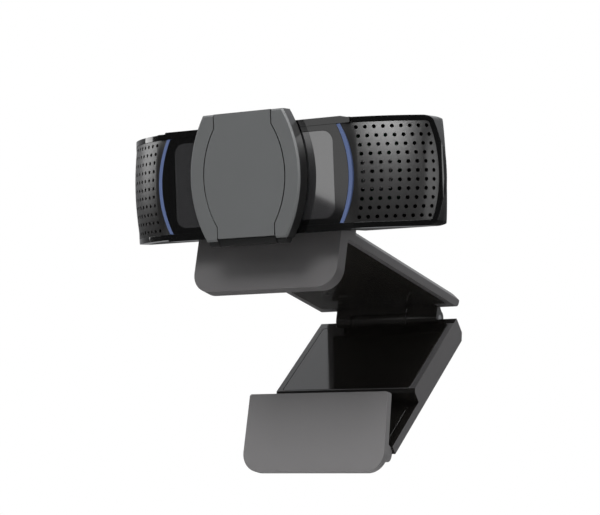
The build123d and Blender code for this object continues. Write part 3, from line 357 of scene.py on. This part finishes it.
for name in ("left_grille", "right_grille"):
    grid = bmesh.new()
    grid.from_mesh(node[name].data)
    bmesh.ops.remove_doubles(grid, verts=grid.verts, dist=1e-6)
    for offset in np.arange(-0.0113, 0.0114, 0.00108):
        cut(grid, face_middle + offset * head_up, head_up)
    for offset in np.arange(0.0265, 0.0445, 0.0012) * (1 if name == "right_grille" else -1):
        cut(grid, (offset, 0, 0), (1, 0, 0))
    mesh = bpy.data.meshes.new(name + "_plate")
    grid.to_mesh(mesh)
    grid.free()
    place, x, y, z = head_frame(mesh)
    side, x = np.sign(x), np.abs(x)
    spoke = np.stack([x, y], 1) - SWEEP
    spoke /= np.linalg.norm(spoke, axis=1)[:, None]
    outward = (side * spoke[:, 0])[:, None] * np.array((1.0, 0, 0)) + spoke[:, 1:] * head_back
    along = (-side * spoke[:, 1])[:, None] * np.array((1.0, 0, 0)) + spoke[:, :1] * head_back
    step = 1e-5
    slope_z = (bulge(x, z + step) - bulge(x, z - step)) / (2 * step)
    slope_s = (bulge(x + step, z) - bulge(x - step, z)) / (2 * step) * -spoke[:, 1]
    place += bulge(x, z)[:, None] * outward
    skin = outward - slope_s[:, None] * along - slope_z[:, None] * head_up
    skin /= np.linalg.norm(skin, axis=1)[:, None]
    mesh.vertices.foreach_set("co", place.ravel())
    mesh.update()
    corner = np.empty(len(mesh.loops), int)
    mesh.loops.foreach_get("vertex_index", corner)
    flat = np.empty(3 * len(mesh.polygons))
    mesh.polygons.foreach_get("normal", flat)
    corners = np.empty(len(mesh.polygons), int)
    mesh.polygons.foreach_get("loop_total", corners)
    flat = np.repeat(flat.reshape(-1, 3), corners, axis=0)
    facing = np.sum(skin[corner] * flat, axis=1)
    turned = np.where((np.abs(facing) > 0.9)[:, None], np.sign(facing)[:, None] * skin[corner], flat)
    mesh.polygons.foreach_set("use_smooth", np.ones(len(mesh.polygons), bool))
    mesh.normals_split_custom_set(turned)
    mesh.materials.clear()
    mesh.materials.append(grille_satin)
    piece = bpy.data.objects.new(name + "_plate", mesh)
    scene.collection.objects.link(piece)
    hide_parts(name)
    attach(piece, "head")

# ---------------------------------------------------------------- front panel, face plate and light strips
# The middle of the face is a polished black panel with a shallow window, filled by a smoked plate.
# A narrow blue light guide stands in the slot at each side of it.
face_grey = moulded("face_grey", (0.020, 0.020, 0.021), 0.03, tone=0.08, spread=0.02, scale=1200.0, depth=0.0,
                    coat=1.0, specular=1.0)
strip_blue = moulded("strip_blue", (0.055, 0.080, 0.165), 0.4, tone=0.1, scale=2500.0, depth=0.01)
# the faint emission is partly the light guides' own glow and partly painted light: it lifts the left strip,
# which the lamps on the right leave dim
strip_blue.node_tree.nodes["Principled BSDF"].inputs["Emission Color"].default_value = (0.10, 0.14, 0.30, 1)
strip_blue.node_tree.nodes["Principled BSDF"].inputs["Emission Strength"].default_value = 0.22
paint("front_panel", gloss_black)
paint("face_plate", face_grey)
paint("left_light_strip", strip_blue)
paint("right_light_strip", strip_blue)

# ---------------------------------------------------------------- lens and electronics
# A screwed lens barrel in a focus actuator, a filter in its frame, and the sensor on the main board,
# which four screws hold to posts in the rear shell. A microphone sits in a rubber boot at each side.
lens_black = moulded("lens_black", (0.01, 0.01, 0.01), 0.45, scale=4000.0, depth=0.01)
for name in ("lens_ring", "lens_barrel", "focus_actuator", "filter_frame", "video_chip"):
    paint(name, lens_black)
for name in ("left_mic_boot", "right_mic_boot", "cover_adhesive"):
    paint(name, cable_rubber)
glass = bpy.data.materials.new("lens_glass")
glass.use_nodes = True
tree = glass.node_tree
bsdf = tree.nodes["Principled BSDF"]
bsdf.inputs["Transmission Weight"].default_value = 0.9
bsdf.inputs["IOR"].default_value = 1.6
place = tree.nodes.new("ShaderNodeTexCoord")
smear = tree.nodes.new("ShaderNodeGroup")
smear.node_tree = touch_tree
smear.inputs["Color"].default_value = (0.62, 0.72, 0.80, 1)
smear.inputs["Roughness"].default_value = 0.03
smear.inputs["Spread"].default_value = 0.03
tree.links.new(place.outputs["Object"], smear.inputs["Vector"])
tree.links.new(smear.outputs["Color"], bsdf.inputs["Base Color"])
tree.links.new(smear.outputs["Roughness"], bsdf.inputs["Roughness"])
for name in ("front_lens", "rear_lens", "infrared_filter"):
    paint(name, glass)
board_green = moulded("board_green", (0.012, 0.09, 0.04), 0.35, tone=0.3, scale=1500.0, depth=0.01)
for name in ("main_board", "left_light_board", "right_light_board"):
    paint(name, board_green)
pale_nylon = moulded("pale_nylon", (0.62, 0.60, 0.52), 0.5, scale=3000.0, depth=0.01)
paint("cable_connector", pale_nylon)
silicon = moulded("silicon", (0.06, 0.065, 0.08), 0.15, scale=2000.0, depth=0.002, coat=0.5)
paint("image_sensor", silicon)


def metal(name, colour, roughness, scale=3000.0):
    """Turned or plated metal: handling changes its tone and gloss, and fine grain raises it a little."""
    material = moulded(name, colour, roughness, tone=0.25, spread=0.15, scale=scale, depth=0.006)
    material.node_tree.nodes["Principled BSDF"].inputs["Metallic"].default_value = 1.0
    return material


plated_steel = metal("plated_steel", (0.42, 0.42, 0.43), 0.28)
for name in ("board_screws", "bracket_screws", "cover_pin", "tilt_pin", "hinge_pin", "foot_pin", "tilt_washers",
             "left_microphone", "right_microphone"):
    paint(name, plated_steel)
turned_brass = metal("turned_brass", (0.60, 0.44, 0.20), 0.3)
paint("tripod_nut", turned_brass)

# ---------------------------------------------------------------- privacy cover
# A stiff frame stuck round the lens, and a door hinged on a steel pin along its bottom edge. Both are
# grey ABS with a fine matt grain, and the bowed seam between them is a hair's breadth wide.
cover_matt = moulded("cover_matt", (0.086, 0.089, 0.090), 0.55, tone=0.06, spread=0.06, scale=5200.0,
                     depth=0.02)
# cover_painted_shade: a near-black finish that paints shade onto the cover's side walls and barrel
cover_painted_shade = moulded("cover_painted_shade", (0.014, 0.014, 0.014), 0.3, tone=0.1, scale=4000.0, depth=0.01)
for piece in (softened("cover_frame", cover_matt, 0.22, 3),
              softened("cover_door", cover_matt, 0.12, 3)):
    # painted shade: only the front skin is grey; the side walls and the barrel behind it are painted
    # near-black, standing in for the shade the lamps leave on them
    piece.data.materials.append(cover_painted_shade)
    for face in piece.data.polygons:
        depth = (np.array(face.center) - face_middle) @ head_back
        face.material_index = 0 if np.array(face.normal) @ head_back < -0.5 and depth < -0.0037 else 1

# ---------------------------------------------------------------- tilt hinge
# A small moulded bracket, screwed into the arm from below, holds the head's neck on a steel pin
# between two thin friction washers.
bracket_black = moulded("bracket_black", (0.012, 0.012, 0.012), 0.4, scale=4000.0, depth=0.015)
softened("tilt_bracket", bracket_black, 0.2, 2)

# ---------------------------------------------------------------- clip arm and its panel
# The arm and its hooked lip are one moulding in dark grey satin plastic. A polished black pad is set
# flush into the underside, where the monitor's edge rests.
clip_satin = moulded("clip_satin", (0.074, 0.071, 0.072), 0.42, tone=0.08, spread=0.06, scale=5200.0,
                     depth=0.015)
panel_gloss = moulded("panel_gloss", (0.011, 0.010, 0.009), 0.10, tone=0.1, spread=0.05, scale=900.0,
                      depth=0.002, coat=0.3)
arm = softened("clip_arm", clip_satin, 0.3, 3)
softened("arm_panel", panel_gloss, 0.12, 2)
# painted shade: the webs, the knuckles and the strip of the underside between them get the pad's polished
# black, standing in for the shade at the arm's hinge end
arm.data.materials.append(panel_gloss)
grid = bmesh.new()
grid.from_mesh(arm.data)
for side in (-0.0156, 0.0156):
    cut(grid, (side, 0, 0), (1, 0, 0))
for face in grid.faces:
    middle = face.calc_center_median()
    if abs(middle.x) < 0.0156 and middle.y > 0.0401 and middle.z < 0.0006:
        face.material_index = 1
grid.to_mesh(arm.data)
grid.free()

# ---------------------------------------------------------------- leg
# The leg folds on the rear hinge's pin. It is the same satin plastic with two flush polished pads, and
# a brass nut for a tripod screw is pressed into it from above.
leg = softened("clip_leg", clip_satin, 0.3, 3)
softened("leg_panel", panel_gloss, 0.12, 2)
softened("leg_low_panel", panel_gloss, 0.12, 2)
# the strip by the hinge, the step and the thinner end are polished black like the pads
down = np.array((0.0, -0.60738, -0.79441))
inner = np.array((0.0, -0.79441, 0.60738))
hinge = np.array((0.0, 0.0442, -0.0026))
leg.data.materials.append(panel_gloss)
grid = bmesh.new()
grid.from_mesh(leg.data)
cut(grid, hinge + 0.0029 * down, down)
for face in grid.faces:
    place = np.array(face.calc_center_median()) - hinge
    along, above = place @ down, place @ inner
    if abs(face.normal.x) < 0.5 and above > -0.0059 and (along < 0.0029 or along > 0.0310):
        face.material_index = 1
grid.to_mesh(leg.data)
grid.free()

# ---------------------------------------------------------------- foot
# A paler matt plate that turns on the leg's end and presses against the monitor's back.
foot_matt = moulded("foot_matt", (0.132, 0.128, 0.129), 0.5, tone=0.05, spread=0.06, scale=5200.0, depth=0.015)
softened("clip_foot", foot_matt, 0.3, 3)
